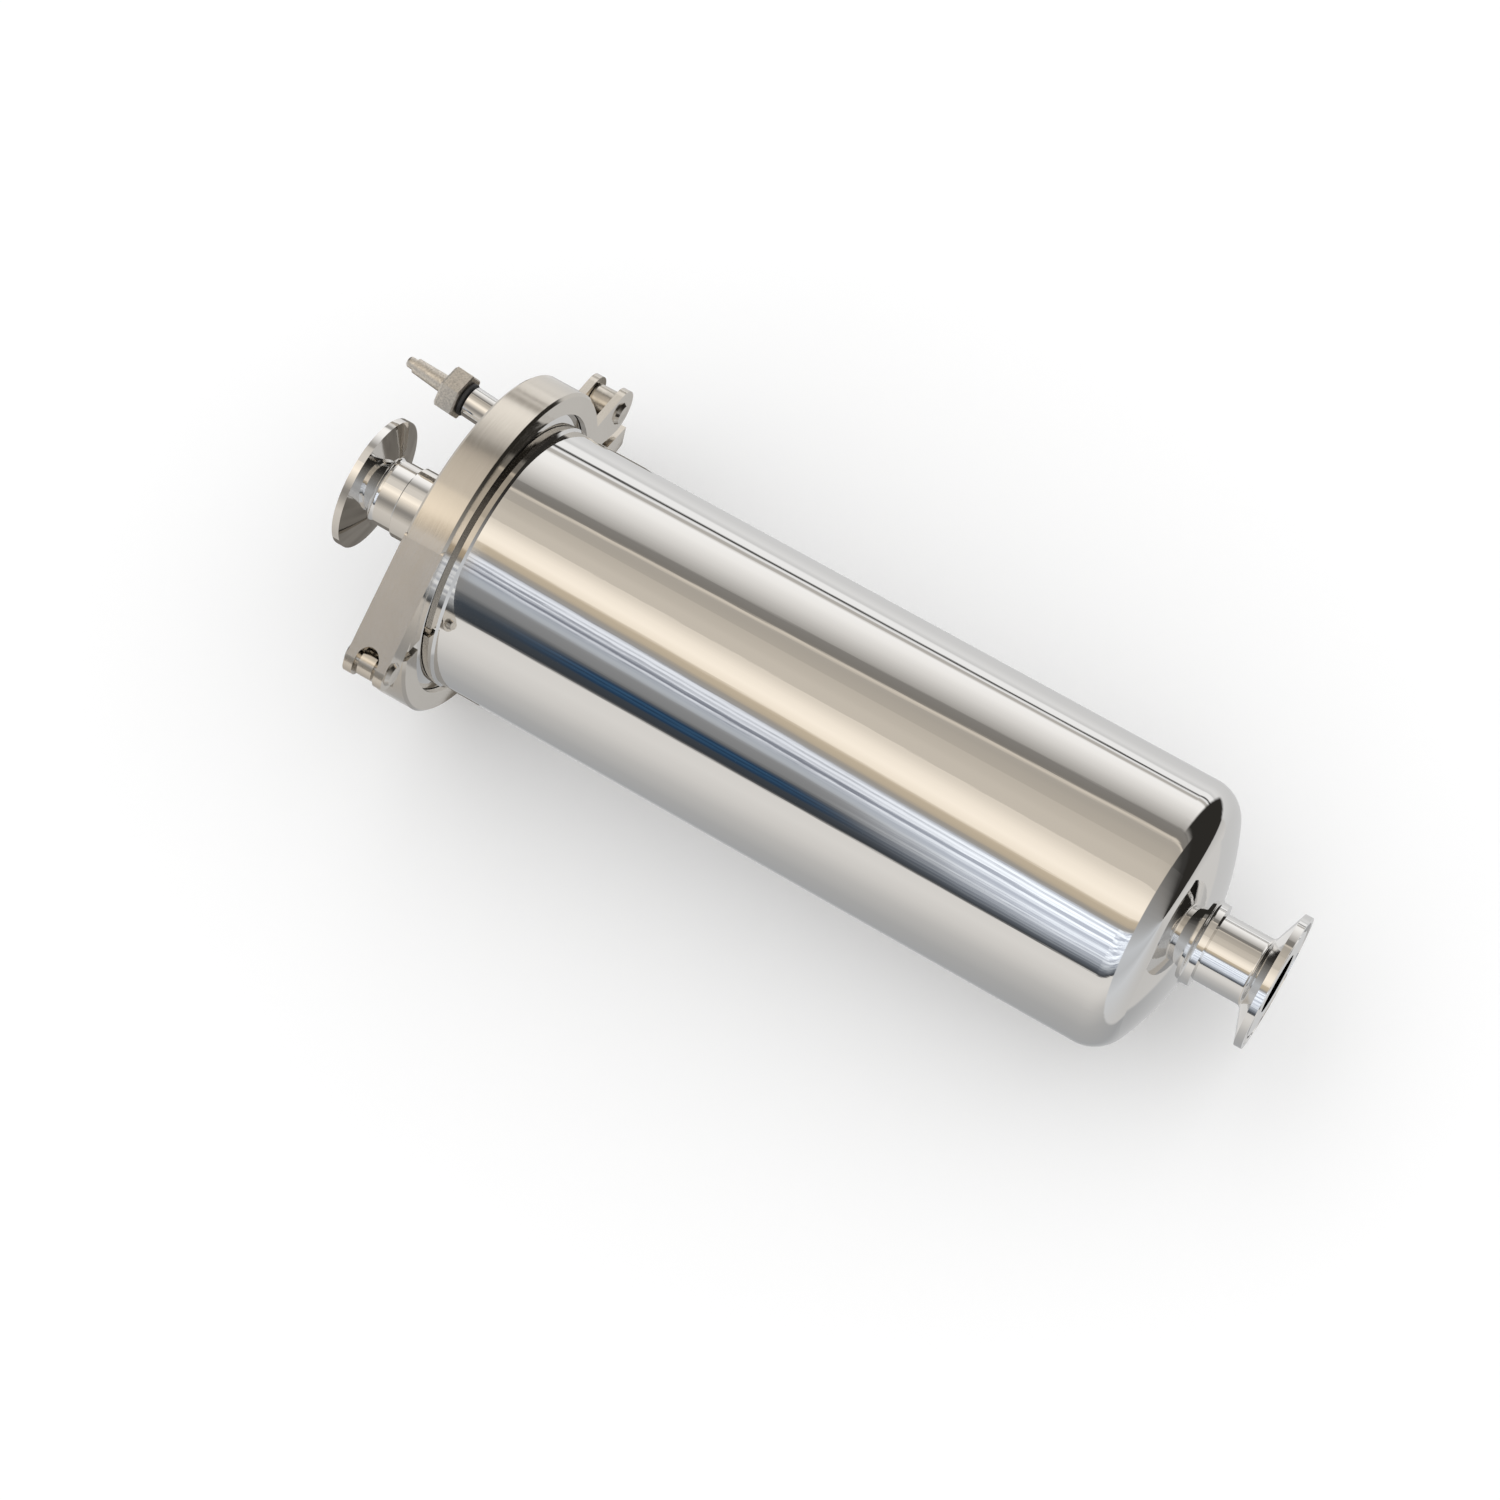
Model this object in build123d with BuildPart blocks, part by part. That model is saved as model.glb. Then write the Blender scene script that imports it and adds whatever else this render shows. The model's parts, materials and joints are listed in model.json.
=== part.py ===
"""Sanitary inline filter: a polished, welded housing closed by a clamped cap, with one cartridge inside.

Millimetres. X runs along the housing, from the inlet face to the outlet face, and Z is up. The origin is
the centre of the inlet face. The filter lies on its clamp, its closing bolt and its dished end.
"""
import os
from math import acos, asin, atan2, cos, degrees, hypot, radians, sin, sqrt, tan

from build123d import *

os.makedirs("parts", exist_ok=True)

# Pressure shell
body_od = 101.6
body_wall = 2.0
body_length = 267.5          # gasket plane to the end of the straight tube
neck_step = 0.9              # short neck between the big flange and the tube, out from the tube
neck_length = 11.0           # gasket plane to the end of the neck
head_knuckle = 14.5
head_crown = 101.6

# Large clamp joint between cap and housing
flange_reach = 8.7           # big flange's rim out from the tube
flange_edge = 2.85
flange_taper = 20.0          # degrees, back of every ferrule flange
groove_inset = 4.35          # groove's middle in from the flange's rim
gasket_thickness = 2.0
bead_radius = 1.45
bead_clearance = 0.1

# Cap
cap_wall = 2.5
cap_knuckle = 4.0
cap_crown = 300.0

# Inlet and outlet nozzles
nozzle_od = 25.4
nozzle_wall = 1.65
inlet_collar_step = 1.0      # collar out from the nozzle
inlet_collar_length = 17.4   # from the pole of the cap
outlet_collar_step = 2.8
outlet_collar_length = 2.8   # from the pole of the dished end
ferrule_od = 50.5
ferrule_groove_inset = 3.4   # groove's middle in from the ferrule's rim
ferrule_fillet = 2.0
weld_fillet = 1.5            # where a nozzle meets its dished end
collar_step = 0.6
inlet_reach = 48.0           # gasket plane to inlet face
outlet_reach = 28.2          # pole of the housing's dished end to outlet face

# Clamp band
band_wall = 3.5              # at the bottom of the V groove
band_width = 15.6
band_edge = 1.0              # chamfer on the band's outer edges
band_clearance = 0.3         # band to flange backs
band_depth_clearance = 0.5   # band to flange rim
band_grip = 4.0              # band's lip in from the flange's rim
split_gap = 6.0              # between the two halves at the closure
hinge_gap = 5.0              # between the two halves at the hinge

# Hinge and closure of the clamp
ear_clearance = 0.3          # between parts that turn past each other
hinge_reach = 9.5            # hinge pin out from the band
hinge_eye_od = 13.0
hinge_slot_width = 8.6
hinge_slot_reach = 9.0       # rounded end of the slot above the pin
knuckle_od = 11.0
knuckle_width = 5.6
pin_od = 6.0
pin_clearance = 0.05
pin_head_od = 9.0
pin_head_height = 1.3
pin_head_taper = 35.0        # degrees
bolt_reach = 16.0            # closing bolt out from the band
bolt_pivot_rise = 9.5        # bolt pivot above the split line
bolt_od = 7.8
bolt_length = 45.0           # pivot to bolt end
bolt_chamfer = 1.0
bolt_eye_od = 13.0
bolt_eye_width = 8.0
closure_ear_od = 18.0
closure_ear_width = 14.6     # over both ears
lug_margin = 7.5             # outer end of the slotted lug beyond the bolt's axis
seat_distance = 22.5         # pivot to the nut's seat
slot_clearance = 0.7
knuckle_lead = 20.0          # degrees round the band from the hinge to the knuckle's root
closure_lead = 14.0          # degrees round the band from the closure to its lug's root
web_gap = 1.5                # washer to the web between lug and band
web_depth = 14.0             # from the split line
web_lead = 17.0              # degrees round the band from the closure to the web's end
seat_clearance = 0.05
washer_od = 15.0
washer_thickness = 1.6
washer_clearance = 0.3
nut_base_od = 14.5
nut_top_od = 11.0
nut_height = 10.0
nut_clearance = 0.2
wing_span = 37.0
wing_rise = 18.0             # wing tips above the nut's base
wing_thickness = 3.2
wing_width = 9.0
wing_root = 1.5              # hub left bare below and above the wings
wing_round = 3.0

# Vent valve on the cap
vent_from_closure = 42.0     # degrees round the axis from the closure towards the top
vent_inset = 11.3            # vent's axis in from the neck's outside
vent_tilt = 4.6              # degrees outwards
stub_od = 11.8
stub_length = 18.6           # cap surface to the vent seal
stub_inside = 0.6            # how far the stub stands in through the cap
stub_chamfer = 0.6
vent_thread_od = 7.0
vent_thread_clearance = 0.2
vent_thread_length = 13.0
vent_seal_od = 12.8
vent_seal_thickness = 1.6
vent_seal_round = 0.5
vent_hex = 16.0              # across flats
vent_hex_height = 8.0
vent_hex_chamfer = 1.0
vent_stem_od = 7.0
vent_neck_od = 5.8
vent_stem_length = 17.5
vent_tip_od = 4.2
vent_tip_length = 3.6
vent_tip_round = 1.2
vent_drill = 1.6
vent_gap = 0.15              # between seal, stub and hex

# Cartridge
cage_od = 69.0
cage_wall = 1.4
cage_tail = 18.5             # cage's plug end to the end of the straight tube
cage_start = 5.0             # gasket plane to the cage's cap end
window_rows = 13
window_columns = 14
window_length = 13.2         # along the cartridge
window_angle = 18.0          # degrees of the cage that one window takes
pleat_count = 44
pleat_gap = 1.5              # pleats to the cage's inside
pleat_root = 21.2
pleat_shift = 4.4            # radial shift that gives the folded sheet its thickness
core_od = 32.4
core_wall = 2.4
core_rows = 9
core_columns = 6
core_window = 9.0
end_cap_thickness = 6.0
knob_od = 15.0
knob_foot_od = 24.0
knob_neck_od = 10.5
knob_top_od = 11.0
knob_length = 8.0
knob_foot = 2.4
knob_neck = 2.0
knob_rim = 2.4
plug_od = 55.8
plug_length = 20.0
plug_bore = 28.0
ring_groove_depth = 2.6
ring_groove_width = 4.2
ring_offsets = (10.6, 16.4)  # groove centres from the end cap's face
ring_width = 3.8
ring_corner = 1.2
ring_slack = 0.05            # ring to groove floor and to socket
lug_offset = 5.0             # middle of the bayonet lugs from the end cap's face
lug_root = 1.0               # how far the lugs run into the plug
lug_reach = 31.2             # bayonet lug tip from the axis
lug_length = 3.6
lug_angle = 16.0             # degrees round the plug
lug_count = 2

# Socket that carries the cartridge
socket_clearance = 0.2
socket_wall = 5.0
socket_floor_gap = 1.0       # plug end to socket floor
socket_rim_gap = 0.3         # end cap to socket rim
slot_play = 0.4              # millimetres along, degrees round
slot_turn = 38.0             # degrees from the slot's mouth to the locked place
socket_bore = 34.0

# Places worked out from the sizes above
gasket_x = inlet_reach
outer_face = gasket_thickness / 2
flange_slope = tan(radians(flange_taper))
body_bore = body_od - 2 * body_wall
neck_od = body_od + 2 * neck_step
flange_od = body_od + 2 * flange_reach
groove_pcd = flange_od - 2 * groove_inset
inlet_collar_od = nozzle_od + 2 * inlet_collar_step
outlet_collar_od = nozzle_od + 2 * outlet_collar_step
ferrule_groove_pcd = ferrule_od - 2 * ferrule_groove_inset
band_od = flange_od + 2 * (band_depth_clearance + band_wall)
band_lip_id = flange_od - 2 * band_grip
band_radius = band_od / 2
hinge_radius = band_radius + hinge_reach
bolt_radius = band_radius + bolt_reach
lug_depth = bolt_radius + lug_margin
vent_radius = neck_od / 2 - vent_inset
band_floor = flange_od / 2 + band_depth_clearance
band_middle = (band_radius + band_floor) / 2
bore_radius = nozzle_od / 2 - nozzle_wall
cage_radius = cage_od / 2
cage_length = body_length - cage_start - cage_tail
pleat_crest = cage_radius - cage_wall - pleat_gap
socket_radius = plug_od / 2 + socket_clearance


def head_depth(radius, knuckle, crown):
    """Height of a dished end from its tangent line to its pole."""
    return crown - sqrt((crown - knuckle) ** 2 - (radius - knuckle) ** 2)


def head_arcs(start, radius, knuckle, crown):
    """Draw a dished end's knuckle and crown, from the tangent line to the pole, and return the pole."""
    turn = degrees(asin((radius - knuckle) / (crown - knuckle)))
    pole = start + head_depth(radius, knuckle, crown)
    CenterArc((start, radius - knuckle), knuckle, 90, turn - 90)
    CenterArc((pole - crown, 0), crown, turn, -turn)
    return pole


def crown_x(pole, crown, radius):
    """Where a crown with this pole stands at this radius."""
    return pole - crown + sqrt(crown ** 2 - radius ** 2)


neck_radius = neck_od / 2
bevel_end = outer_face + flange_edge + (flange_od / 2 - neck_radius) * flange_slope
cap_pole = bevel_end + head_depth(neck_radius, cap_knuckle, cap_crown)
body_pole = body_length + head_depth(body_od / 2, head_knuckle, head_crown)
inner_pole = body_pole - body_wall
outlet_x = gasket_x + body_pole + outlet_reach

# The filter leans on the band's edge and the dished end, and the closing bolt's end stops it from rolling
lean_run = body_length - (band_width / 2 - band_edge)
lean_drop = band_radius - body_od / 2 + head_knuckle
rest_tilt = degrees(atan2(lean_drop, lean_run) - asin(head_knuckle / hypot(lean_run, lean_drop)))
floor_radius = band_radius + (band_width / 2 - band_edge) * tan(radians(rest_tilt))
bolt_end_out = bolt_radius + bolt_od / 2 - bolt_chamfer
bolt_end_down = bolt_length - bolt_pivot_rise
bolt_end_reach = hypot(bolt_end_out, bolt_end_down)
closure_angle = 180 - degrees(acos(floor_radius / bolt_end_reach)) - degrees(atan2(bolt_end_down, bolt_end_out))
vent_angle = closure_angle - vent_from_closure

axis_x = Axis((0, 0, 0), (1, 0, 0))
housing_section = Plane(origin=(gasket_x, 0, 0), x_dir=(1, 0, 0), z_dir=(0, -1, 0))
cap_section = Plane(origin=(gasket_x, 0, 0), x_dir=(-1, 0, 0), z_dir=(0, 1, 0))


def outward(angle):
    """Unit vector square to the axis, at this angle from the top towards +Y."""
    return Vector(0, sin(radians(angle)), cos(radians(angle)))


def cross_plane(angle, x=gasket_x):
    """Plane square to the axis: its x points outwards at this angle, its y the other way round."""
    return Plane(origin=(x, 0, 0), x_dir=outward(angle), z_dir=(1, 0, 0))


closure = cross_plane(closure_angle)
bolt_pivot = closure.from_local_coords(Vector(bolt_radius, bolt_pivot_rise, 0))
bolt_down = closure.from_local_coords(Vector(0, -1, 0)) - closure.origin
bolt_plane = Plane(origin=bolt_pivot, x_dir=outward(closure_angle), z_dir=(1, 0, 0))
vent_out = outward(vent_angle)
vent_direction = Vector(-cos(radians(vent_tilt)), 0, 0) + vent_out * sin(radians(vent_tilt))
vent_foot = Vector(gasket_x - crown_x(cap_pole, cap_crown, vent_radius), 0, 0) + vent_out * vent_radius
vent_base = Plane(origin=vent_foot, x_dir=outward(vent_angle + 90), z_dir=vent_direction)


def flange_lines(inner, radius, back, start=0.0):
    """Draw a ferrule face and its rim and tapered back, and return where the back meets radius back."""
    rim = start + flange_edge
    root = rim + (radius - back) * flange_slope
    Polyline((start, inner), (start, radius), (rim, radius), (root, back))
    return root


def weld_points(pole, crown, collar):
    """Centre of the weld fillet between a collar and a dished end, and the fillet's foot, which is the hole's edge."""
    hub = Vector(pole - crown, 0)
    radius = collar + weld_fillet
    centre = Vector(hub.X + sqrt((crown + weld_fillet) ** 2 - radius ** 2), radius)
    return centre, hub + (centre - hub).normalized() * crown


def nozzle(section, pole, wall, crown, reach, collar, collar_end):
    """Add a nozzle set into a dished end's hole: weld fillet, collar, tube and a ferrule with a seal groove."""
    face = pole + reach
    tube = nozzle_od / 2
    rim = face - flange_edge
    root = rim - (ferrule_od / 2 - tube) * flange_slope
    centre, foot = weld_points(pole, crown, collar)
    inwards = Vector(0, -1) - (centre - Vector(pole - crown, 0)).normalized()
    hollow = centre + inwards.normalized() * weld_fillet
    with BuildSketch(section) as ring:
        with BuildLine():
            ThreePointArc(foot, hollow, (centre.X, collar))
            Polyline(
                (centre.X, collar), (collar_end - collar_step, collar), (collar_end, tube), (root, tube),
                (rim, ferrule_od / 2), (face, ferrule_od / 2), (face, bore_radius),
                (crown_x(pole - wall, crown - wall, bore_radius), bore_radius),
                (crown_x(pole - wall, crown - wall, foot.Y), foot.Y), foot,
            )
        make_face()
        fillet(ring.vertices().sort_by_distance((root, tube))[0], ferrule_fillet)
    revolve(ring.sketch, axis=axis_x)
    with BuildSketch(section) as groove:
        with Locations((face, ferrule_groove_pcd / 2)):
            Circle(bead_radius + bead_clearance)
    revolve(groove.sketch, axis=axis_x, mode=Mode.SUBTRACT)


def seal_groove(section):
    """Cut the groove for the big gasket's bead."""
    with BuildSketch(section) as groove:
        with Locations((outer_face, groove_pcd / 2)):
            Circle(bead_radius + bead_clearance)
    revolve(groove.sketch, axis=axis_x, mode=Mode.SUBTRACT)


# Housing: flange with a short neck, tube, dished end and outlet nozzle, butt-welded and polished over
neck_end = neck_length + (neck_od - body_od) / 2
with BuildPart() as housing_flange:
    with BuildSketch(housing_section):
        with BuildLine():
            root = flange_lines(body_bore / 2, flange_od / 2, neck_radius, outer_face)
            Polyline(
                (root, neck_radius), (neck_length, neck_radius), (neck_end, body_od / 2),
                (neck_end, body_bore / 2), (outer_face, body_bore / 2),
            )
        make_face()
    revolve(axis=axis_x)
    seal_groove(housing_section)
housing_flange.part.label = "housing_flange"
export_step(housing_flange.part, "parts/housing_flange.step")

with BuildPart() as housing_tube:
    with BuildSketch(cross_plane(0, gasket_x + neck_end)):
        Circle(body_od / 2)
        Circle(body_bore / 2, mode=Mode.SUBTRACT)
    extrude(amount=body_length - neck_end)
housing_tube.part.label = "housing_tube"
export_step(housing_tube.part, "parts/housing_tube.step")

with BuildPart() as dished_end:
    with BuildSketch(housing_section):
        for wall, mode in ((0, Mode.ADD), (body_wall, Mode.SUBTRACT)):
            with BuildLine():
                Polyline((body_length, 0), (body_length, body_od / 2 - wall))
                pole = head_arcs(body_length, body_od / 2 - wall, head_knuckle - wall, head_crown - wall)
                Line((pole, 0), (body_length, 0))
            make_face(mode=mode)
        hole = weld_points(body_pole, head_crown, outlet_collar_od / 2)[1].Y
        with Locations((body_length, 0)):
            Rectangle(2 * head_crown, 2 * hole, mode=Mode.SUBTRACT)
    revolve(axis=axis_x)
dished_end.part.label = "dished_end"
export_step(dished_end.part, "parts/dished_end.step")

with BuildPart() as outlet_nozzle:
    collar_end = body_pole + outlet_collar_length
    nozzle(housing_section, body_pole, body_wall, head_crown, outlet_reach, outlet_collar_od / 2, collar_end)
outlet_nozzle.part.label = "outlet_nozzle"
export_step(outlet_nozzle.part, "parts/outlet_nozzle.step")

# Cap: the same flange on a shallow dished head, with holes for the inlet nozzle and the vent's stub
with BuildPart() as cap:
    with BuildSketch(cap_section):
        with BuildLine():
            root = flange_lines(0, flange_od / 2, neck_radius, outer_face)
            pole = head_arcs(root, neck_radius, cap_knuckle, cap_crown)
            Line((pole, 0), (outer_face, 0))
        make_face()
        with BuildLine():
            Polyline((outer_face, 0), (outer_face, body_bore / 2), (bevel_end, body_bore / 2))
            pole = head_arcs(bevel_end, body_bore / 2, cap_knuckle - cap_wall, cap_crown - cap_wall)
            Line((pole, 0), (outer_face, 0))
        make_face(mode=Mode.SUBTRACT)
        hole = weld_points(cap_pole, cap_crown, inlet_collar_od / 2)[1].Y
        with Locations((bevel_end, 0)):
            Rectangle(2 * inlet_reach, 2 * hole, mode=Mode.SUBTRACT)
    revolve(axis=axis_x)
    seal_groove(cap_section)
    with BuildSketch(vent_base):
        Circle(stub_od / 2)
    extrude(amount=2 * cap_wall, both=True, mode=Mode.SUBTRACT)
cap.part.label = "cap"
export_step(cap.part, "parts/cap.step")

with BuildPart() as inlet_nozzle:
    collar_end = cap_pole + inlet_collar_length
    nozzle(cap_section, cap_pole, cap_wall, cap_crown, inlet_reach - cap_pole, inlet_collar_od / 2, collar_end)
inlet_nozzle.part.label = "inlet_nozzle"
export_step(inlet_nozzle.part, "parts/inlet_nozzle.step")

with BuildPart() as vent_stub:
    with BuildSketch(vent_base.offset(-cap_wall - stub_inside)):
        Circle(stub_od / 2)
    extrude(amount=stub_length + cap_wall + stub_inside)
    stub_rim = vent_foot + vent_direction * stub_length
    chamfer(vent_stub.faces().sort_by_distance(stub_rim)[0].edges(), stub_chamfer)
    with BuildSketch(vent_base):
        Circle(vent_thread_od / 2 + vent_thread_clearance)
    extrude(amount=2 * stub_length, both=True, mode=Mode.SUBTRACT)
vent_stub.part.label = "vent_stub"
export_step(vent_stub.part, "parts/vent_stub.step")

# Gasket: flat ring with a bead on both faces
with BuildPart() as body_gasket:
    with BuildSketch(housing_section):
        with Locations((0, body_bore / 2)):
            Rectangle(gasket_thickness, (flange_od - body_bore) / 2, align=(Align.CENTER, Align.MIN))
        with Locations((outer_face, groove_pcd / 2), (-outer_face, groove_pcd / 2)):
            Circle(bead_radius)
    revolve(axis=axis_x)
body_gasket.part.label = "body_gasket"
export_step(body_gasket.part, "parts/body_gasket.step")


def whole_band():
    """Add the whole clamp band, with a V groove inside that grips the backs of both flanges."""
    half = band_width / 2
    floor = band_floor
    lip = band_lip_id / 2
    floor_half = outer_face + flange_edge + band_clearance - band_depth_clearance * flange_slope
    lip_half = floor_half + (floor - lip) * flange_slope
    edge = band_radius - band_edge
    with BuildSketch(housing_section) as section:
        with BuildLine():
            Polyline(
                (-half, lip), (-half, edge), (band_edge - half, band_radius), (half - band_edge, band_radius),
                (half, edge), (half, lip), (lip_half, lip), (floor_half, floor), (-floor_half, floor),
                (-lip_half, lip), close=True,
            )
        make_face()
    revolve(section.sketch, axis=axis_x)


def keep_half(side):
    """Cut away the other half of the band and the gaps at both splits. side is 1 for the upper half."""
    with BuildSketch(closure) as waste:
        for end, gap in ((1, split_gap), (-1, hinge_gap)):
            with Locations((end * band_radius, side * (gap / 2 - band_radius))):
                Rectangle(2 * band_radius, 2 * band_radius)
    extrude(waste.sketch, amount=band_width, both=True, mode=Mode.SUBTRACT)


def lug(centre, eye, root_angles, half_width):
    """Add a lug from the band, at these angles from the closure, to a round eye. It is two half_width wide."""
    with BuildSketch(closure) as outline:
        with Locations(centre):
            Circle(eye)
        for angle in root_angles:
            with PolarLocations(band_middle, 1, angle):
                Circle(band_radius - band_middle)
        make_hull()
        Circle(band_floor, mode=Mode.SUBTRACT)
    extrude(outline.sketch, amount=half_width, both=True)


hinge_centre = (-hinge_radius, 0)
hinge_lead = degrees(acos((band_radius - hinge_eye_od / 2) / hinge_radius))
pivot_centre = (bolt_radius, bolt_pivot_rise)
slot_floor = band_radius + ear_clearance
hinge_slot_end = hinge_slot_reach - hinge_slot_width / 2
eye_slot = bolt_eye_width / 2 + ear_clearance
closure_foot = degrees(asin((split_gap / 2 + band_radius - band_middle) / band_middle))

# Upper half of the clamp: fork ears at both ends
with BuildPart() as clamp_upper:
    whole_band()
    keep_half(1)
    lug(hinge_centre, hinge_eye_od / 2, [180 - hinge_lead], band_width / 2)
    lug(pivot_centre, closure_ear_od / 2, [closure_foot, closure_lead], closure_ear_width / 2)
    floor_centre = closure.from_local_coords((-slot_floor, 0))
    with BuildSketch(Plane(origin=floor_centre, x_dir=(1, 0, 0), z_dir=-outward(closure_angle))):
        with Locations((0, hinge_slot_end)):
            Circle(hinge_slot_width / 2)
            Rectangle(hinge_slot_width, hinge_eye_od + hinge_slot_end, align=(Align.CENTER, Align.MAX))
    extrude(amount=hinge_eye_od + hinge_radius - band_radius, mode=Mode.SUBTRACT)
    with BuildSketch(closure):
        with Locations(pivot_centre):
            Rectangle(2 * closure_ear_od, 2 * closure_ear_od)
        Circle(slot_floor, mode=Mode.SUBTRACT)
    extrude(amount=eye_slot, both=True, mode=Mode.SUBTRACT)
    with BuildSketch(closure):
        with Locations(hinge_centre, pivot_centre):
            Circle(pin_od / 2 + pin_clearance)
    extrude(amount=band_width, both=True, mode=Mode.SUBTRACT)
clamp_upper.part.label = "clamp_upper"
export_step(clamp_upper.part, "parts/clamp_upper.step")

# Lower half: one knuckle at the hinge
with BuildPart() as clamp_lower:
    whole_band()
    keep_half(-1)
    lug(hinge_centre, knuckle_od / 2, [180 + knuckle_lead], knuckle_width / 2)
    with BuildSketch(closure):
        with Locations(hinge_centre):
            Circle(pin_od / 2 + pin_clearance)
    extrude(amount=band_width, both=True, mode=Mode.SUBTRACT)
clamp_lower.part.label = "clamp_lower"
export_step(clamp_lower.part, "parts/clamp_lower.step")

# Lug welded on the lower half: slotted for the bolt, with a nut seat that is round about the bolt's pivot
slot_half = bolt_od / 2 + slot_clearance
with BuildPart() as bolt_lug:
    with BuildSketch(closure):
        with Locations((0, -split_gap / 2)):
            Rectangle(lug_depth, band_radius, align=(Align.MIN, Align.MAX))
        with Locations(pivot_centre):
            Circle(seat_distance - seat_clearance, mode=Mode.INTERSECT)
        web = bolt_radius - washer_od / 2 - web_gap
        with BuildLine():
            Polyline(
                (0, -split_gap / 2), (web, -split_gap / 2), (web, -web_depth),
                (band_radius * cos(radians(web_lead)), -band_radius * sin(radians(web_lead))), close=True,
            )
        make_face()
        Circle(band_radius, mode=Mode.SUBTRACT)
    extrude(amount=band_width / 2, both=True)
    with BuildSketch(Plane(origin=bolt_pivot, x_dir=outward(closure_angle), z_dir=bolt_down)):
        Circle(slot_half)
        Rectangle(lug_depth, 2 * slot_half, align=(Align.MIN, Align.CENTER))
    extrude(amount=2 * seat_distance, mode=Mode.SUBTRACT)
bolt_lug.part.label = "bolt_lug"
export_step(bolt_lug.part, "parts/bolt_lug.step")


def headed_pin(centre, width):
    """Add a pin as long as the ears are wide, with a bevelled rivet head at each end."""
    with BuildSketch(closure) as section:
        with Locations(centre):
            Circle(pin_od / 2)
    extrude(section.sketch, amount=width / 2, both=True)
    for side in (1, -1):
        with BuildSketch(closure.offset(side * width / 2)) as head:
            with Locations(centre):
                Circle(pin_head_od / 2)
        extrude(head.sketch, amount=side * pin_head_height, taper=pin_head_taper)


with BuildPart() as hinge_pin:
    headed_pin(hinge_centre, band_width)
hinge_pin.part.label = "hinge_pin"
export_step(hinge_pin.part, "parts/hinge_pin.step")

with BuildPart() as bolt_pin:
    headed_pin(pivot_centre, closure_ear_width)
bolt_pin.part.label = "bolt_pin"
export_step(bolt_pin.part, "parts/bolt_pin.step")

# Closing bolt: flat eye and round shank
shank = Plane(origin=bolt_pivot, x_dir=(1, 0, 0), z_dir=bolt_down)
with BuildPart() as eye_bolt:
    with BuildSketch(shank):
        Circle(bolt_od / 2)
    extrude(amount=bolt_length)
    chamfer(eye_bolt.faces().sort_by_distance(shank.offset(bolt_length).origin)[0].edges(), bolt_chamfer)
    with BuildSketch(bolt_plane):
        Circle(bolt_eye_od / 2)
    extrude(amount=bolt_eye_width / 2, both=True)
    with BuildSketch(bolt_plane):
        Circle(pin_od / 2 + pin_clearance)
    extrude(amount=bolt_od, both=True, mode=Mode.SUBTRACT)
eye_bolt.part.label = "eye_bolt"
export_step(eye_bolt.part, "parts/eye_bolt.step")

with BuildPart() as nut_washer:
    with BuildSketch(shank.offset(seat_distance)):
        Circle(washer_od / 2)
        Circle(bolt_od / 2 + washer_clearance, mode=Mode.SUBTRACT)
    extrude(amount=washer_thickness)
nut_washer.part.label = "nut_washer"
export_step(nut_washer.part, "parts/nut_washer.step")

# Wing nut: tapered hub with two wings that flare away from the seat
nut_base = shank.offset(seat_distance + washer_thickness)
wing_plane = Plane(origin=nut_base.origin, x_dir=(1, 0, 0), z_dir=outward(closure_angle))
with BuildPart() as wing_nut:
    with BuildSketch(nut_base):
        Circle(nut_base_od / 2)
    with BuildSketch(nut_base.offset(nut_height)):
        Circle(nut_top_od / 2)
    loft()
    with BuildSketch(wing_plane) as wings:
        with BuildLine():
            Polyline(
                (0, wing_root), (nut_base_od / 2 - wing_root / 2, wing_root),
                (wing_span / 2, wing_rise - wing_width), (wing_span / 2, wing_rise),
                (wing_span / 2 - wing_width, wing_rise), (nut_top_od / 2 - wing_root, nut_height - wing_root),
                (0, nut_height - wing_root), close=True,
            )
        make_face()
        tips = wings.vertices().filter_by(lambda corner: corner.X > wing_span / 2 - wing_width - wing_root / 2)
        fillet(tips, wing_round)
        mirror(about=Plane.YZ)
    extrude(amount=wing_thickness / 2, both=True)
    with BuildSketch(nut_base):
        Circle(bolt_od / 2 + nut_clearance)
    extrude(amount=wing_rise, mode=Mode.SUBTRACT)
wing_nut.part.label = "wing_nut"
export_step(wing_nut.part, "parts/wing_nut.step")

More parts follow.
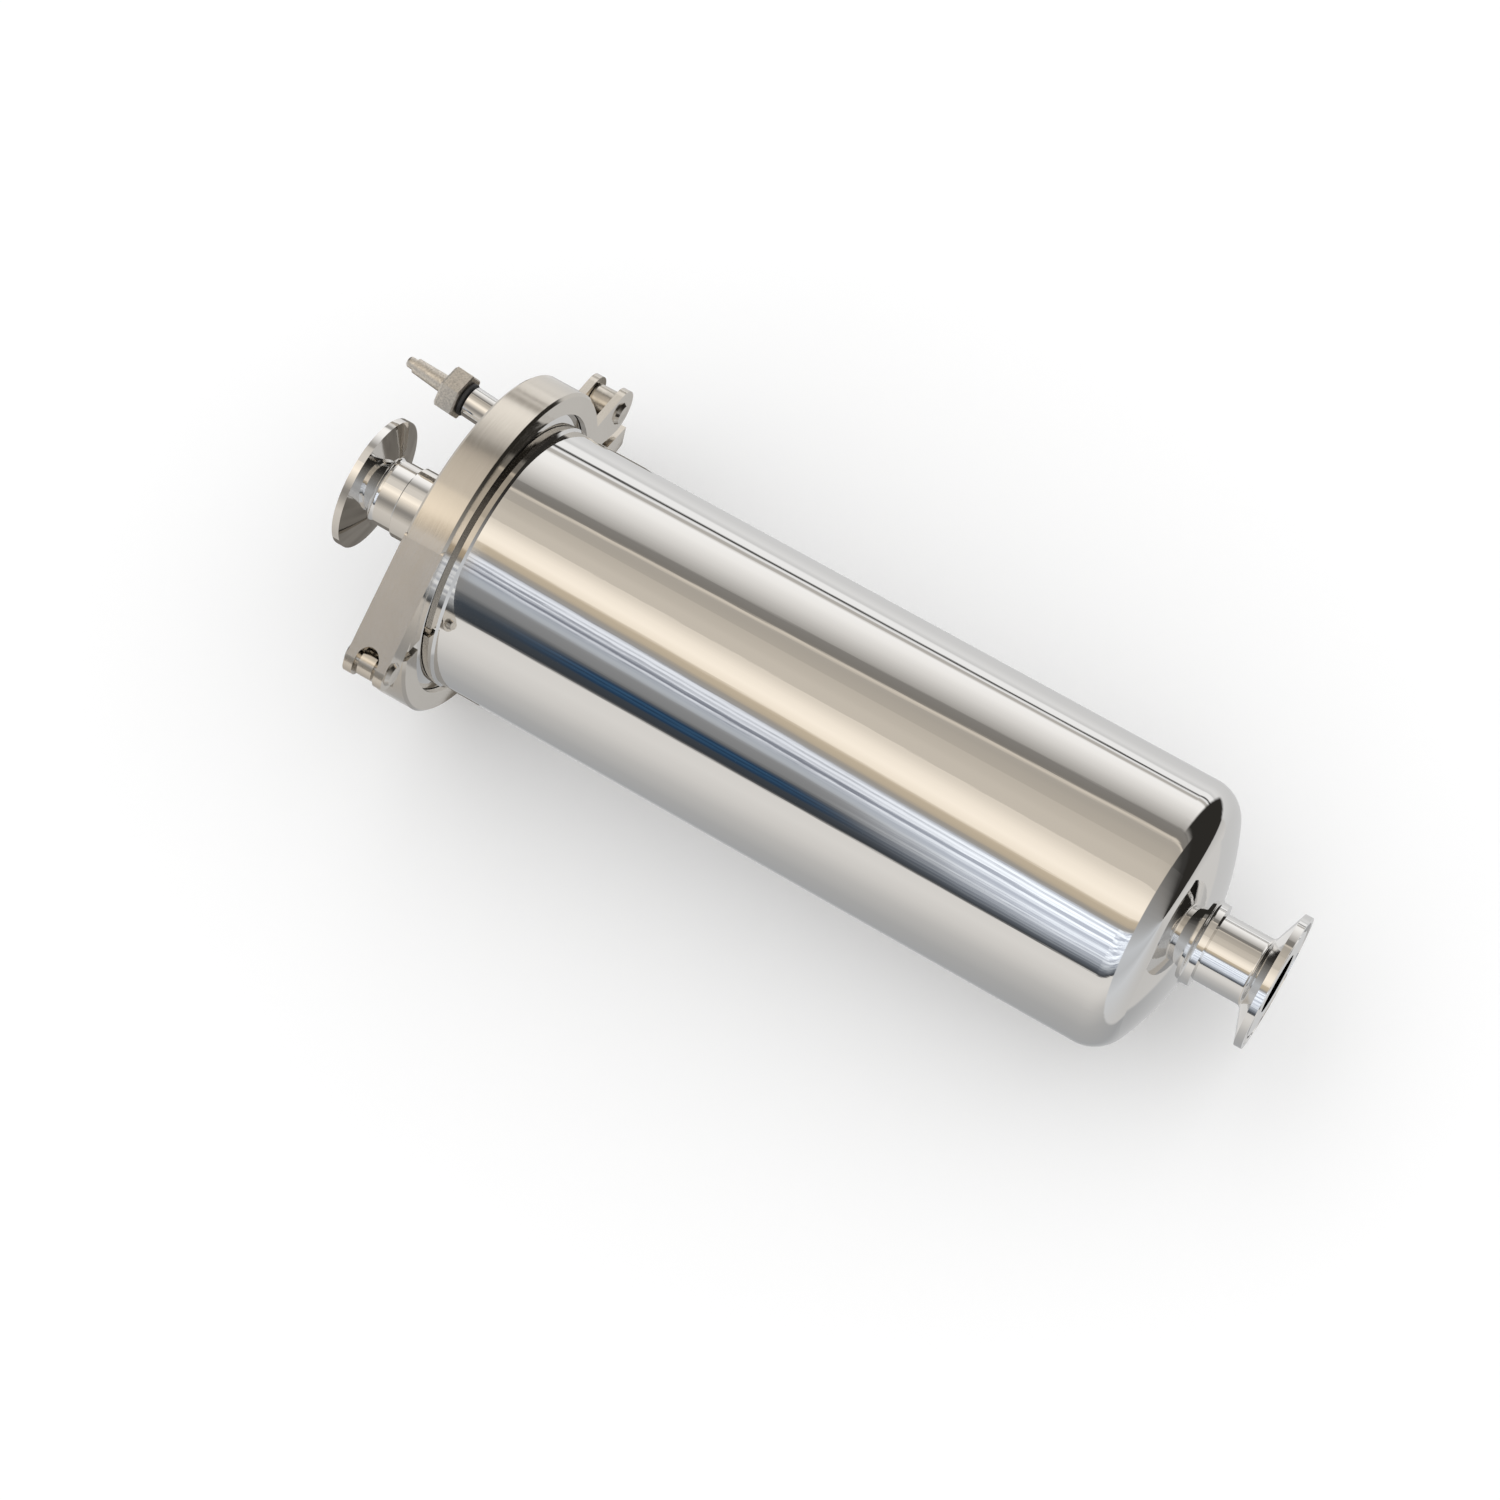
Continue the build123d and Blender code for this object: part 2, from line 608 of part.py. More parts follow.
# Vent valve: threaded spigot, hexagon, stem with a small ball end, drilled through
seal_plane = vent_base.offset(stub_length + vent_gap)
hex_plane = seal_plane.offset(vent_seal_thickness + vent_gap)
stem_plane = hex_plane.offset(vent_hex_height)
vent_line = Axis(hex_plane.origin, vent_direction)
with BuildPart() as vent_stem:
    with BuildSketch(hex_plane):
        RegularPolygon(vent_hex / 2, 6, major_radius=False)
    extrude(amount=vent_hex_height)
    chamfer(vent_stem.edges().filter_by(hex_plane).group_by(vent_line)[-1], vent_hex_chamfer)
    chamfer(vent_stem.edges().filter_by(hex_plane).group_by(vent_line)[0], vent_hex_chamfer / 2)
    with BuildSketch(hex_plane):
        Circle(vent_thread_od / 2)
    extrude(amount=-vent_thread_length)
    with BuildSketch(stem_plane):
        Circle(vent_stem_od / 2)
    with BuildSketch(stem_plane.offset(vent_stem_length - vent_tip_length)):
        Circle(vent_neck_od / 2)
    loft()
    with BuildSketch(stem_plane.offset(vent_stem_length - vent_tip_length)):
        Circle(vent_tip_od / 2)
    extrude(amount=vent_tip_length)
    fillet(vent_stem.faces().sort_by(vent_line)[-1].edges(), vent_tip_round)
    with BuildSketch(stem_plane.offset(vent_stem_length)):
        Circle(vent_drill / 2)
    extrude(amount=-vent_stem_length - vent_hex_height - vent_thread_length, mode=Mode.SUBTRACT)
vent_stem.part.label = "vent_stem"
export_step(vent_stem.part, "parts/vent_stem.step")

with BuildPart() as vent_seal:
    with BuildSketch(seal_plane):
        Circle(vent_seal_od / 2)
        Circle(vent_thread_od / 2 + ear_clearance, mode=Mode.SUBTRACT)
    extrude(amount=vent_seal_thickness)
    fillet(vent_seal.edges().group_by(SortBy.LENGTH)[-1], vent_seal_round)
vent_seal.part.label = "vent_seal"
export_step(vent_seal.part, "parts/vent_seal.step")

# Cartridge
cage_end = cage_start + cage_length
plug_start = cage_end + end_cap_thickness
plug_end = plug_start + plug_length


def windowed_tube(radius, wall, rows, columns, length, width):
    """Add a tube as long as the cartridge's cage, with rows of windows all round."""
    with BuildSketch(cross_plane(0, gasket_x + cage_start)) as ring:
        Circle(radius)
        Circle(radius - wall, mode=Mode.SUBTRACT)
    extrude(ring.sketch, amount=cage_length)
    for column in range(columns):
        side = Plane(
            origin=(gasket_x + cage_start + cage_length / 2, 0, 0), x_dir=(1, 0, 0),
            z_dir=outward(360 * column / columns),
        )
        with BuildSketch(side) as windows:
            with GridLocations(cage_length / rows, 1, rows, 1):
                Rectangle(length, width)
        extrude(windows.sketch, amount=2 * radius, mode=Mode.SUBTRACT)


with BuildPart() as cartridge_cage:
    window_width = 2 * cage_radius * sin(radians(window_angle / 2))
    windowed_tube(cage_radius, cage_wall, window_rows, window_columns, window_length, window_width)
cartridge_cage.part.label = "cartridge_cage"
export_step(cartridge_cage.part, "parts/cartridge_cage.step")


def pleat_corners(shift):
    """Corners of the folded sheet's zigzag round the axis, moved inwards by shift."""
    corners = []
    for fold in range(pleat_count):
        for radius, turn in ((pleat_crest, fold), (pleat_root, fold + 0.5)):
            angle = radians(360 * turn / pleat_count)
            corners.append(((radius - shift) * cos(angle), (radius - shift) * sin(angle)))
    return corners


with BuildPart() as pleated_filter:
    with BuildSketch(cross_plane(0, gasket_x + cage_start)):
        Polygon(*pleat_corners(0), align=None)
        Polygon(*pleat_corners(pleat_shift), align=None, mode=Mode.SUBTRACT)
    extrude(amount=cage_length)
pleated_filter.part.label = "pleated_filter"
export_step(pleated_filter.part, "parts/pleated_filter.step")

with BuildPart() as cartridge_core:
    windowed_tube(core_od / 2, core_wall, core_rows, core_columns, core_window, core_window)
cartridge_core.part.label = "cartridge_core"
export_step(cartridge_core.part, "parts/cartridge_core.step")


def sector_plane(angle):
    """Plane through the axis at this angle from the top towards +Y: x along the axis, y outwards."""
    return Plane(origin=(gasket_x, 0, 0), x_dir=(1, 0, 0), z_dir=Vector(1, 0, 0).cross(outward(angle)))


# Closed end cap with the knob that the cartridge is pulled out by
with BuildPart() as cartridge_top:
    with BuildSketch(housing_section):
        top = cage_start - end_cap_thickness
        with BuildLine():
            Polyline(
                (cage_start, 0), (cage_start, cage_radius), (top, cage_radius), (top, knob_foot_od / 2),
                (top - knob_foot, knob_neck_od / 2), (top - knob_foot - knob_neck, knob_neck_od / 2),
                (top - knob_length + knob_rim, knob_od / 2), (top - knob_length, knob_top_od / 2),
                (top - knob_length, 0), close=True,
            )
        make_face()
    revolve(axis=axis_x)
cartridge_top.part.label = "cartridge_top"
export_step(cartridge_top.part, "parts/cartridge_top.step")

# Outlet end cap with its plug, two ring grooves and the bayonet lugs
with BuildPart() as cartridge_adapter:
    with BuildSketch(housing_section):
        with BuildLine():
            Polyline(
                (cage_end, plug_bore / 2), (cage_end, cage_radius), (plug_start, cage_radius),
                (plug_start, plug_od / 2), (plug_end, plug_od / 2), (plug_end, plug_bore / 2), close=True,
            )
        make_face()
        for offset_x in ring_offsets:
            with Locations((plug_start + offset_x, plug_od / 2)):
                Rectangle(ring_groove_width, 2 * ring_groove_depth, mode=Mode.SUBTRACT)
    revolve(axis=axis_x)
    for number in range(lug_count):
        with BuildSketch(sector_plane(360 * number / lug_count)):
            with Locations((plug_start + lug_offset, lug_reach)):
                Rectangle(lug_length, lug_reach - plug_od / 2 + lug_root, align=(Align.CENTER, Align.MAX))
        revolve(axis=axis_x, revolution_arc=lug_angle)
cartridge_adapter.part.label = "cartridge_adapter"
export_step(cartridge_adapter.part, "parts/cartridge_adapter.step")

# Two sealing rings, squeezed between the plug's grooves and the socket
ring_floor = plug_od / 2 - ring_groove_depth + ring_slack
ring_top = socket_radius - ring_slack
for name, offset_x in zip(("adapter_ring_front", "adapter_ring_rear"), ring_offsets):
    with BuildPart() as adapter_ring:
        with BuildSketch(housing_section):
            with Locations((plug_start + offset_x, (ring_floor + ring_top) / 2)):
                RectangleRounded(ring_width, ring_top - ring_floor, ring_corner)
        revolve(axis=axis_x)
    adapter_ring.part.label = name
    export_step(adapter_ring.part, f"parts/{name}.step")

# Socket welded into the dished end: the bayonet slots let the lugs in and hold them after a short turn
rim_x = plug_start + socket_rim_gap
slot_x = plug_start + lug_offset
slot_length = lug_length + 2 * slot_play
slot_sweep = lug_angle + 2 * slot_play
with BuildPart() as cartridge_socket:
    with BuildSketch(housing_section):
        floor_x = plug_end + socket_floor_gap
        crown = head_crown - body_wall
        outer = socket_radius + socket_wall
        inner = socket_bore / 2
        middle = (inner + outer) / 2
        with BuildLine():
            Polyline(
                (crown_x(inner_pole, crown, inner), inner), (floor_x, inner), (floor_x, socket_radius),
                (rim_x, socket_radius), (rim_x, outer), (crown_x(inner_pole, crown, outer), outer),
            )
            ThreePointArc(
                (crown_x(inner_pole, crown, outer), outer), (crown_x(inner_pole, crown, middle), middle),
                (crown_x(inner_pole, crown, inner), inner),
            )
        make_face()
    revolve(axis=axis_x)
    for number in range(lug_count):
        locked = 360 * number / lug_count + slot_play
        with BuildSketch(sector_plane(locked)):
            with Locations((slot_x, outer)):
                Rectangle(slot_length, 2 * (outer - bore_radius))
        revolve(axis=axis_x, revolution_arc=slot_turn + slot_sweep, mode=Mode.SUBTRACT)
        with BuildSketch(sector_plane(locked - slot_turn)):
            with Locations((slot_x + slot_length / 2, outer)):
                Rectangle(slot_length + lug_offset, 2 * (outer - bore_radius), align=(Align.MAX, Align.CENTER))
        revolve(axis=axis_x, revolution_arc=slot_sweep, mode=Mode.SUBTRACT)
cartridge_socket.part.label = "cartridge_socket"
export_step(cartridge_socket.part, "parts/cartridge_socket.step")
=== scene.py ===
"""Sanitary inline filter: the finishes of its steel, rubber and plastic, its threads and a plain studio.

Metres. X runs along the housing from the inlet to the outlet, Z is up and +Y is the side of the closing bolt.
"""
import json
from math import pi, radians, tan

import bmesh
import bpy
import numpy as np
from bpy.props import FloatProperty, FloatVectorProperty, PointerProperty
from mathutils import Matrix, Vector


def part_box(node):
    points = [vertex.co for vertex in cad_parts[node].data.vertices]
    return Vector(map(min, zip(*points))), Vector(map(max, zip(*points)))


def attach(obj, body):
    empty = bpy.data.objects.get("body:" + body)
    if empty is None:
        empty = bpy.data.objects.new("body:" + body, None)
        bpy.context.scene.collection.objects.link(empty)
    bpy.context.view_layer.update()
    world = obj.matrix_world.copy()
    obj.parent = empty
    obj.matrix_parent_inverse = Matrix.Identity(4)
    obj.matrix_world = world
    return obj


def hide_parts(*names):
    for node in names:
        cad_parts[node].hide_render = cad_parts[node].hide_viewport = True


bl_info = {
    "name": "Sanitary inline filter",
    "version": (1, 0, 0),
    "blender": (4, 5, 0),
    "location": "View3D > Sidebar > Filter",
    "description": "Gives the filter its steel, rubber and plastic finishes, its threads and a studio",
    "category": "Object",
}

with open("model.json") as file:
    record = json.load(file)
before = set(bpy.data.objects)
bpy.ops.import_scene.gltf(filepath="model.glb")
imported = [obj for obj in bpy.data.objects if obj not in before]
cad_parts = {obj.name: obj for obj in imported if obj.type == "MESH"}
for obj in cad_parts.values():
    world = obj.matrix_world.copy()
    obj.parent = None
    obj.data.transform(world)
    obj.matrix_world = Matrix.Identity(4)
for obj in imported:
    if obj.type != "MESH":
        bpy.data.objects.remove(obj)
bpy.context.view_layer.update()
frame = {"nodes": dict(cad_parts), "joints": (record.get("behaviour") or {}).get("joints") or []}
nodes = frame["nodes"]
joints = {joint["name"]: joint for joint in frame["joints"]}

POLISHED = ("housing_flange", "housing_tube", "dished_end", "outlet_nozzle", "cap", "inlet_nozzle", "vent_stub")
SATIN = ("clamp_upper", "clamp_lower", "bolt_lug")
TURNED = ("hinge_pin", "bolt_pin", "nut_washer")
RUBBER = ("body_gasket", "vent_seal", "adapter_ring_front", "adapter_ring_rear")
MOULDED = ("cartridge_cage", "cartridge_core", "cartridge_top", "cartridge_adapter")

# What the polished steel mirrors, round the housing: degrees from straight up towards the bolt's side,
# brightness, and warmth, which is above 0 for cream and below 0 for blue
ROOM_BANDS = (
    (-180, 0.40, -0.02), (-150, 0.46, 0.0), (-126, 0.58, 0.02), (-110, 0.72, 0.03), (-96, 0.80, 0.03),
    (-84, 0.78, 0.03), (-82.8, 0.045, -0.10), (-80, 0.06, -0.15), (-73, 0.07, -0.20), (-70, 0.12, -0.10),
    (-67, 0.14, -0.05), (-65.5, 0.26, -0.02), (-58, 0.30, -0.02), (-56.5, 0.50, -0.06), (-44, 0.95, -0.10),
    (-39, 0.85, -0.06), (-36.5, 0.45, 0.06), (-33, 0.34, 0.06), (-30.5, 0.48, 0.22), (-25.5, 0.52, 0.22),
    (-24.5, 0.92, 0.14), (-17, 1.04, 0.12), (-10, 0.96, 0.12), (-2, 0.76, 0.12), (9, 0.60, 0.12),
    (20, 0.49, 0.12), (29, 0.43, 0.11), (33.4, 0.44, 0.10), (34, 0.70, 0.13), (35.2, 0.68, 0.12),
    (36, 0.28, 0.10), (37, 0.22, 0.08), (45.5, 0.25, 0.06), (46.5, 0.42, 0.05), (61, 0.78, 0.03),
    (74, 1.02, 0.02), (84, 1.08, 0.01), (85, 0.50, 0.06), (88.8, 0.50, 0.05), (89.8, 0.98, 0.0),
    (92.2, 0.94, 0.0), (92.8, 0.08, 0.03), (94.2, 0.08, 0.03), (95, 1.0, 0.0), (103, 1.02, 0.0),
    (105.5, 0.72, 0.0), (112, 0.84, 0.0), (125, 0.72, 0.0), (145, 0.65, 0.0), (165, 0.62, 0.0),
    (180, 0.42, -0.02),
)
# The same towards the inlet, which the clamp, the vent and the inlet nozzle mirror
INLET_BANDS = (
    (-180, 0.55, 0.06), (-150, 0.50, 0.07), (-120, 0.60, 0.08), (-90, 0.66, 0.08), (-79, 0.55, 0.09),
    (-66, 0.36, 0.08), (-56, 0.27, 0.08), (-50, 0.30, 0.08), (-40, 0.52, 0.10), (-28, 0.80, 0.12),
    (-16, 1.10, 0.12), (-4, 0.92, 0.11), (8, 0.74, 0.08), (21, 0.70, 0.08), (27, 0.62, 0.08),
    (31, 0.36, 0.06), (36, 0.38, 0.05), (42, 0.62, 0.03), (57, 1.06, 0.02), (72, 1.16, 0.02),
    (78, 1.05, 0.02), (81, 0.42, 0.04), (86, 0.40, 0.04), (90, 0.72, 0.04), (106, 0.98, 0.02),
    (118, 0.86, 0.02), (130, 0.78, 0.01), (154, 0.84, 0.01), (180, 0.60, 0.04),
)
# The same for what stands in line with the housing, which only the dished end and the flanges mirror
END_BANDS = (
    (-180, 0.62, 0.02), (-150, 0.66, 0.0), (-110, 0.72, -0.03), (-85, 0.60, -0.03), (-60, 0.66, -0.04),
    (-30, 0.40, 0.0), (0, 0.26, 0.04), (22, 0.14, 0.04), (40, 0.05, 0.05), (80, 0.018, 0.05),
    (108, 0.015, 0.06), (112, 0.008, 0.0), (115, 0.008, 0.0), (117, 0.60, 0.02), (140, 0.70, 0.02),
    (180, 0.62, 0.02),
)
# The bands fan out towards the housing's ends. How far a mirrored direction points along the housing, from -1 at
# the inlet to 1 at the outlet, is carried from FAN_FROM to FAN_TO, and turns the bands by that share of FAN_TURN
FAN_FROM = (-0.32, -0.11)
FAN_TO = (-0.12, 0.09)
FAN_MIDDLE = radians(8)
FAN_TURN = radians(71)
# Where each part of the room fades in, from 0 at the first value to 1 at the second, by how far a mirrored direction
# points along the housing or by its turn round it
UPPER_END = (radians(-34), radians(-38))
FAR_TURN = (radians(-56), radians(-48))
NEAR_ALONG = (-0.19, -0.11)
NEAR_TURN = (radians(-84), radians(-58))
BLUE_LOWER = (radians(-77), radians(-75))
BLUE_UPPER = (radians(-67), radians(-70))
BLUE_INLET = (-0.28, -0.24)
BLUE_OUTLET = (-0.16, -0.20)
INLET_ALONG = (-0.287, -0.292)
IN_LINE = (0.50, 0.54)
CORNER_ALONG = (0.15, 0.23)
CORNER_FRONT = (radians(48), radians(60))
CORNER_BACK = (radians(118), radians(112))
# Darkest and brightest streak of each part
FAR_STREAKS = ((0.26, 0.28, 0.33), (0.94, 0.98, 1.06))
NEAR_STREAKS = ((0.60, 0.65, 0.76), (1.30, 1.38, 1.48))
BLUE_STREAKS = ((0.02, 0.05, 0.10), (0.05, 0.12, 0.22))
CORNER_TONE = (0.03, 0.028, 0.025)
BACKDROP_STRENGTH = 1.1

# Left, right, front and back edge on the floor, in metres
FLOOR_EDGES = (-3.0, 3.0, -3.0, 3.0)
# The glowing card under the clamp is a painted dark reflection, which only the steel shows
CARD_EDGES = (-0.060, 0.062, -0.045, 0.110)
CARD_LIFT = 0.0002

TURN_LENGTH = 0.06      # metres of grain for each radian round the housing
TUBE_REACH = 0.0514     # out from the axis, just past the tube's skin
VENT_TONE = 0.62        # how much darker the vent's thread is coloured than the bolt's
SMOOTH_ANGLE = radians(30)

# Threads: depth, end taper and rows along the axis for each pitch, sides round it, and the shape of a flank
THREAD_DEPTH = 0.6
THREAD_TAPER = 0.8
THREAD_ROWS = 10
THREAD_SIDES = 40
FLANK_SLOPE = 2.4
FLANK_SHIFT = 0.7


class SteelLook(bpy.types.PropertyGroup):
    polished_colour: FloatVectorProperty(
        name="Polished colour", description="Colour of the mirror-bright steel", subtype="COLOR", size=3,
        min=0.0, max=1.0, default=(0.80, 0.79, 0.775),
    )
    polished_roughness: FloatProperty(
        name="Polished roughness", description="Roughness of the mirror-bright steel", subtype="FACTOR",
        min=0.0, max=1.0, default=0.02,
    )
    satin_colour: FloatVectorProperty(
        name="Satin colour", description="Colour of the clamp's satin steel", subtype="COLOR", size=3,
        min=0.0, max=1.0, default=(0.71, 0.665, 0.60),
    )
    satin_roughness: FloatProperty(
        name="Satin roughness", description="Roughness of the clamp's satin steel", subtype="FACTOR",
        min=0.0, max=1.0, default=0.12,
    )
    turned_roughness: FloatProperty(
        name="Turned roughness", description="Roughness of the turned pins, washer, bolt and vent thread",
        subtype="FACTOR", min=0.0, max=1.0, default=0.16,
    )
    bolt_pitch: FloatProperty(
        name="Bolt pitch", description="Pitch of the closing bolt's thread", subtype="DISTANCE", unit="LENGTH",
        default=0.00125,
    )
    bolt_plain: FloatProperty(
        name="Plain shank", description="From the bolt's pivot to its thread", subtype="DISTANCE", unit="LENGTH",
        default=0.0125,
    )
    vent_pitch: FloatProperty(
        name="Vent pitch", description="Pitch of the vent's thread", subtype="DISTANCE", unit="LENGTH",
        default=0.00125,
    )


class StudioLook(bpy.types.PropertyGroup):
    camera_place: FloatVectorProperty(
        name="Camera place", description="Where the camera stands", subtype="XYZ", unit="LENGTH", size=3,
        default=(0.44685, -0.45144, 1.25925),
    )
    camera_turn: FloatVectorProperty(
        name="Camera turn", description="How the camera is turned", subtype="EULER", unit="ROTATION", size=3,
        default=(radians(22.193), radians(0.583), radians(31.255)),
    )
    focal_length: FloatProperty(
        name="Focal length", description="Lens for a 36 mm sensor, in millimetres", default=94.28,
    )
    floor_tilt: FloatProperty(
        name="Floor tilt", description="How the filter leans from the clamp down to its dished end",
        subtype="ANGLE", unit="ROTATION", default=radians(2.785),
    )
    floor_drop: FloatProperty(
        name="Floor drop", description="From the housing's axis down to the floor, below the clamp",
        subtype="DISTANCE", unit="LENGTH", default=0.06385,
    )
    floor_colour: FloatVectorProperty(
        name="Floor colour", description="Colour of the pale floor", subtype="COLOR", size=3,
        min=0.0, max=1.0, default=(0.96, 0.96, 0.96),
    )


def node_tree(name):
    """A new material and its node tree, with the shader and the object's own coordinates already in it."""
    material = bpy.data.materials.new(name)
    material.use_nodes = True
    tree = material.node_tree
    return material, tree, tree.nodes["Principled BSDF"], tree.nodes.new("ShaderNodeTexCoord").outputs["Object"]


def noise(tree, vector, scale, detail=2.0, stretch=(1.0, 1.0, 1.0)):
    """Noise on coordinates that are first multiplied by stretch."""
    mapping = tree.nodes.new("ShaderNodeMapping")
    mapping.inputs["Scale"].default_value = stretch
    texture = tree.nodes.new("ShaderNodeTexNoise")
    texture.inputs["Scale"].default_value = scale
    texture.inputs["Detail"].default_value = detail
    tree.links.new(vector, mapping.inputs["Vector"])
    tree.links.new(mapping.outputs["Vector"], texture.inputs["Vector"])
    return texture.outputs["Fac"]


def spread(tree, value, low, high, start=0.3, end=0.7):
    """Carry a value from between start and end to between low and high."""
    node = tree.nodes.new("ShaderNodeMapRange")
    node.inputs["From Min"].default_value = start
    node.inputs["From Max"].default_value = end
    node.inputs["To Min"].default_value = low
    node.inputs["To Max"].default_value = high
    tree.links.new(value, node.inputs["Value"])
    return node.outputs["Result"]


def bump(tree, height, distance, under=None):
    """Turn a height into a normal, over the normal given as under."""
    node = tree.nodes.new("ShaderNodeBump")
    node.inputs["Distance"].default_value = distance
    node.inputs["Strength"].default_value = 1.0
    tree.links.new(height, node.inputs["Height"])
    if under is not None:
        tree.links.new(under, node.inputs["Normal"])
    return node.outputs["Normal"]


def math(tree, operation, first, second=None):
    """One step of arithmetic on sockets or plain numbers."""
    node = tree.nodes.new("ShaderNodeMath")
    node.operation = operation
    for socket, value in zip(node.inputs, (first, second)):
        if value is None:
            continue
        if isinstance(value, (int, float)):
            socket.default_value = value
        else:
            tree.links.new(value, socket)
    return node.outputs["Value"]


def ramp(tree, value, stops):
    """Colours between the given (place, colour) stops."""
    node = tree.nodes.new("ShaderNodeValToRGB")
    elements = node.color_ramp.elements
    for number, (place, colour) in enumerate(stops):
        element = elements[number] if number < len(elements) and number < 2 else elements.new(place)
        element.position = place
        element.color = (*colour, 1.0)
    tree.links.new(value, node.inputs["Fac"])
    return node.outputs["Color"]


def mix(tree, factor, first, second):
    """Mix two colours, each a socket or a plain colour. The node's colours are its inputs 6 and 7 and its output 2."""
    node = tree.nodes.new("ShaderNodeMix")
    node.data_type = "RGBA"
    for socket, value in ((node.inputs[0], factor), (node.inputs[6], first), (node.inputs[7], second)):
        if isinstance(value, (int, float)):
            socket.default_value = value
        elif isinstance(value, tuple):
            socket.default_value = (*value, 1.0)
        else:
            tree.links.new(value, socket)
    return node.outputs[2]


def round_the_axis(tree, vector):
    """Coordinates that follow the housing: along it, the turn round it as a length, and out from it."""
    split = tree.nodes.new("ShaderNodeSeparateXYZ")
    join = tree.nodes.new("ShaderNodeCombineXYZ")
    tree.links.new(vector, split.inputs["Vector"])
    turn = math(tree, "ARCTAN2", split.outputs["Y"], split.outputs["Z"])
    out = math(tree, "SQRT", math(
        tree, "ADD", math(tree, "POWER", split.outputs["Y"], 2.0), math(tree, "POWER", split.outputs["Z"], 2.0),
    ))
    tree.links.new(split.outputs["X"], join.inputs["X"])
    tree.links.new(math(tree, "MULTIPLY", turn, TURN_LENGTH), join.inputs["Y"])
    tree.links.new(out, join.inputs["Z"])
    return join.outputs["Vector"]


def polished_steel(look):
    """Mirror-bright steel: a slow waviness, faint lines along the tube and a slightly uneven gloss."""
    material, tree, shader, place = node_tree("Polished steel")
    shader.inputs["Metallic"].default_value = 1.0
    shader.inputs["Base Color"].default_value = (*look.polished_colour, 1.0)
    follow = round_the_axis(tree, place)
    gloss = noise(tree, follow, 45.0, 3.0)
    tree.links.new(
        spread(tree, gloss, look.polished_roughness * 0.7, look.polished_roughness * 1.5), shader.inputs["Roughness"],
    )
    waves = bump(tree, noise(tree, place, 22.0, 1.0), 0.00007)
    split = tree.nodes.new("ShaderNodeSeparateXYZ")
    tree.links.new(follow, split.inputs["Vector"])
    on_tube = math(tree, "LESS_THAN", split.outputs["Z"], TUBE_REACH)
    lines = math(tree, "MULTIPLY", noise(tree, follow, 60.0, 3.0, (0.8, 26.0, 1.0)), on_tube)
    tree.links.new(bump(tree, lines, 0.0000035, under=waves), shader.inputs["Normal"])
    return material


def satin_steel(look):
    """Cast steel, linished and half polished along the band: a soft gloss, fine lines and a slightly uneven tone."""
    material, tree, shader, place = node_tree("Satin steel")
    shader.inputs["Metallic"].default_value = 1.0
    follow = round_the_axis(tree, place)
    grain = noise(tree, follow, 180.0, 3.0, (14.0, 0.4, 6.0))
    cloud = noise(tree, place, 30.0, 2.0)
    light = tuple(look.satin_colour)
    dark = tuple(0.92 * channel for channel in light)
    tree.links.new(mix(tree, spread(tree, cloud, 0.0, 1.0), light, dark), shader.inputs["Base Color"])
    tree.links.new(
        spread(tree, grain, look.satin_roughness * 0.8, look.satin_roughness * 1.3), shader.inputs["Roughness"],
    )
    soft = bump(tree, cloud, 0.00012)
    tree.links.new(bump(tree, grain, 0.000008, under=soft), shader.inputs["Normal"])
    return material


def cast_steel(look):
    """Small casting left as it was blasted: a rough, speckled skin with a warm tone."""
    material, tree, shader, place = node_tree("Cast steel")
    shader.inputs["Metallic"].default_value = 1.0
    speckle = noise(tree, place, 1400.0, 3.0)
    light = tuple(min(1.0, 1.3 * channel) for channel in look.satin_colour)
    dark = tuple(0.9 * channel for channel in look.satin_colour)
    tree.links.new(mix(tree, spread(tree, speckle, 0.0, 1.0), light, dark), shader.inputs["Base Color"])
    tree.links.new(spread(tree, speckle, 0.3, 0.5), shader.inputs["Roughness"])
    tree.links.new(bump(tree, speckle, 0.00009), shader.inputs["Normal"])
    return material


def turned_steel(look, tone=1.0):
    """Machined steel with the fine rings that a lathe leaves. A low tone makes its colour darker."""
    material, tree, shader, place = node_tree("Turned steel")
    shader.inputs["Metallic"].default_value = 1.0
    cloud = noise(tree, place, 160.0, 3.0)
    light = tuple(tone * channel for channel in look.satin_colour)
    dark = tuple(0.72 * channel for channel in light)
    tree.links.new(mix(tree, spread(tree, cloud, 0.0, 1.0), light, dark), shader.inputs["Base Color"])
    tree.links.new(
        spread(tree, cloud, look.turned_roughness * 0.8, look.turned_roughness * 1.4), shader.inputs["Roughness"],
    )
    rings = noise(tree, place, 900.0, 2.0, (1.0, 0.2, 0.2))
    tree.links.new(bump(tree, rings, 0.00002), shader.inputs["Normal"])
    return material


def black_rubber():
    """Matt black rubber with a fine grain and a little bloom."""
    material, tree, shader, place = node_tree("Black rubber")
    bloom = noise(tree, place, 120.0, 4.0)
    tree.links.new(
        mix(tree, spread(tree, bloom, 0.0, 1.0), (0.016, 0.016, 0.017), (0.04, 0.04, 0.041)),
        shader.inputs["Base Color"],
    )
    tree.links.new(spread(tree, bloom, 0.42, 0.6), shader.inputs["Roughness"])
    tree.links.new(bump(tree, noise(tree, place, 1500.0, 2.0), 0.00003), shader.inputs["Normal"])
    return material


